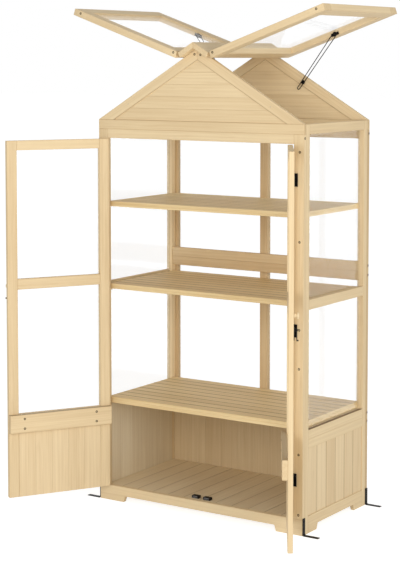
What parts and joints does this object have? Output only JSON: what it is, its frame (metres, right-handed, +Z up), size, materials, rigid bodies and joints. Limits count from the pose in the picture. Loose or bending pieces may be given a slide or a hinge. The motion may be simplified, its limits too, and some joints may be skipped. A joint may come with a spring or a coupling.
{
  "type": "wooden mini greenhouse",
  "caption": "Free-standing wooden cabinet greenhouse with a gabled roof, lift-up clear roof lids, clear front doors, plant shelves and a boarded storage base.",
  "frame": {"origin": "on the ground, under the middle of the outline that the cabinet has at rest with its doors and lids open", "axes": "+X towards the right door as seen from the front, +Y towards the rear, +Z up"},
  "size_m": [1.397, 0.9966, 2.0994],
  "materials": {
    "frame_wood": "matte",
    "board_wood": "matte",
    "shelf_wood": "matte",
    "roof_wood": "matte",
    "door_wood": "matte",
    "knob_wood": "satin",
    "clear_sheet": "gloss",
    "hinge_black": "satin",
    "fitting_black": "satin"
  },
  "bodies": {
    "cabinet": {"front_plinth": "frame_wood", "front_left_stile": "frame_wood", "front_right_stile": "frame_wood", "front_header_rail": "frame_wood", "left_side_frame": "frame_wood", "right_side_frame": "frame_wood", "rear_frame": "frame_wood", "front_gable": "frame_wood", "rear_gable": "frame_wood", "left_side_boards": "board_wood", "right_side_boards": "board_wood", "floor_boards": "board_wood", "top_shelf": "shelf_wood", "middle_shelf": "shelf_wood", "bottom_shelf": "shelf_wood", "ridge_cap": "roof_wood", "left_side_pane": "clear_sheet", "right_side_pane": "clear_sheet", "rear_pane": "clear_sheet", "left_front_anchor": "fitting_black", "left_rear_anchor": "fitting_black", "right_front_anchor": "fitting_black", "right_rear_anchor": "fitting_black", "left_stay_peg": "fitting_black", "right_stay_peg": "fitting_black", "left_door_hinge_1_frame_leaf": "hinge_black", "left_door_hinge_2_frame_leaf": "hinge_black", "left_door_hinge_3_frame_leaf": "hinge_black", "right_door_hinge_1_frame_leaf": "hinge_black", "right_door_hinge_2_frame_leaf": "hinge_black", "right_door_hinge_3_frame_leaf": "hinge_black", "left_lid_hinge_ridge_leaf": "hinge_black", "right_lid_hinge_ridge_leaf": "hinge_black"},
    "left_door": {"left_door_frame": "door_wood", "left_door_boards": "board_wood", "left_door_pane": "clear_sheet", "left_door_knob": "knob_wood", "left_door_hinge_1_door_leaf": "hinge_black", "left_door_hinge_2_door_leaf": "hinge_black", "left_door_hinge_3_door_leaf": "hinge_black", "latch_keeper": "fitting_black"},
    "left_lid": {"left_lid_frame": "roof_wood", "left_lid_pane": "clear_sheet", "left_lid_hinge_lid_leaf": "hinge_black", "left_stay_bracket": "fitting_black"},
    "left_lid_stay": {"left_stay": "fitting_black"},
    "right_door": {"right_door_frame": "door_wood", "right_door_boards": "board_wood", "right_door_pane": "clear_sheet", "right_door_knob": "knob_wood", "right_door_hinge_1_door_leaf": "hinge_black", "right_door_hinge_2_door_leaf": "hinge_black", "right_door_hinge_3_door_leaf": "hinge_black", "latch_plate": "fitting_black"},
    "right_lid": {"right_lid_frame": "roof_wood", "right_lid_pane": "clear_sheet", "right_lid_hinge_lid_leaf": "hinge_black", "right_stay_bracket": "fitting_black"},
    "right_lid_stay": {"right_stay": "fitting_black"},
    "latch": {"latch_lever": "fitting_black"}
  },
  "joints": [
    {"name": "left_door_hinge", "type": "hinge", "parent": "cabinet", "child": "left_door", "pos_m": [-0.454, -0.08773, 0.818], "axis": [0, 0, -1], "range_deg": [-121, 50]},
    {"name": "right_door_hinge", "type": "hinge", "parent": "cabinet", "child": "right_door", "pos_m": [0.454, -0.08773, 0.818], "axis": [0, 0, 1], "range_deg": [-121, 50]},
    {"name": "latch_turn", "type": "hinge", "parent": "right_door", "child": "latch", "pos_m": [0.68704, -0.45811, 0.896], "axis": [-0.8572, -0.515, 0], "range_deg": [0, 90]},
    {"name": "left_lid_hinge", "type": "hinge", "parent": "cabinet", "child": "left_lid", "pos_m": [-0.07678, 0.19026, 1.91253], "axis": [0, -1, 0], "range_deg": [0, 50.09]},
    {"name": "right_lid_hinge", "type": "hinge", "parent": "cabinet", "child": "right_lid", "pos_m": [0.07678, 0.19026, 1.91253], "axis": [0, 1, 0], "range_deg": [0, 50.09]},
    {"name": "left_stay_pivot", "type": "hinge", "parent": "left_lid", "child": "left_lid_stay", "pos_m": [-0.34522, 0.44042, 1.99011], "axis": [0, -1, 0], "range_deg": [0, 11.1]},
    {"name": "right_stay_pivot", "type": "hinge", "parent": "right_lid", "child": "right_lid_stay", "pos_m": [0.34522, 0.44042, 1.99011], "axis": [0, 1, 0], "range_deg": [0, 11.1]}
  ],
  "couplings": [
    {"joint": "left_stay_pivot", "follows": "left_lid_hinge", "ratio": 0.22},
    {"joint": "right_stay_pivot", "follows": "right_lid_hinge", "ratio": 0.22}
  ]
}
